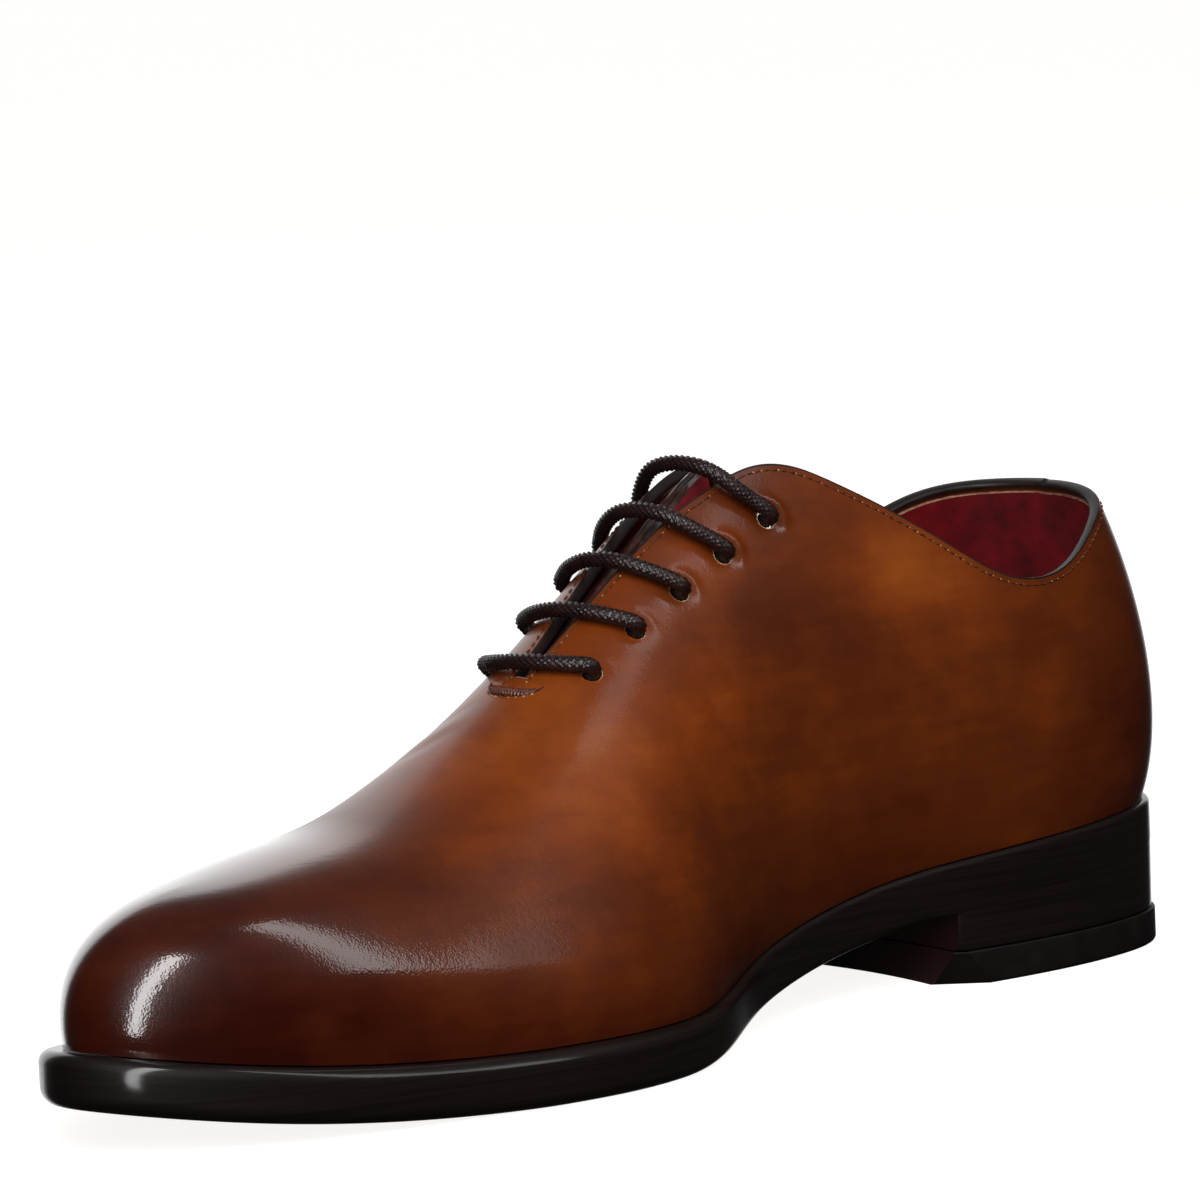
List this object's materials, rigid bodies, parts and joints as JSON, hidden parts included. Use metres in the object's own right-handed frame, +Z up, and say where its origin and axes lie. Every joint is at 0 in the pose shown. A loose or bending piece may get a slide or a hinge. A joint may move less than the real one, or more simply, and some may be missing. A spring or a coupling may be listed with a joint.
{
  "type": "whole cut oxford",
  "caption": "Right whole cut oxford shoe: one piece laced leather upper, open collar and throat, leather sole with welt ledge and stacked heel.",
  "frame": {"origin": "on the floor under the middle of the heel seat, on the underside of the heel top piece", "axes": "+X towards the toe, +Y towards the medial side, +Z up; the shoe stands on its heel and tread at Z 0"},
  "size_m": [0.2979, 0.1008, 0.1121],
  "materials": {
    "upper_leather": "polished hand-burnished calf",
    "tongue_leather": "glossy calf",
    "sock_suede": "suede",
    "sole_edge": "waxed and polished",
    "heel_leather": "waxed stacked leather",
    "top_piece_rubber": "satin",
    "lace_cord": "waxed braid"
  },
  "bodies": {
    "root": {"upper": "upper_leather", "tongue": "tongue_leather", "insole": "sock_suede", "welt": "sole_edge", "outsole": "sole_edge", "heel_stack": "heel_leather", "heel_top_piece": "top_piece_rubber", "lace": "lace_cord"}
  },
  "joints": []
}
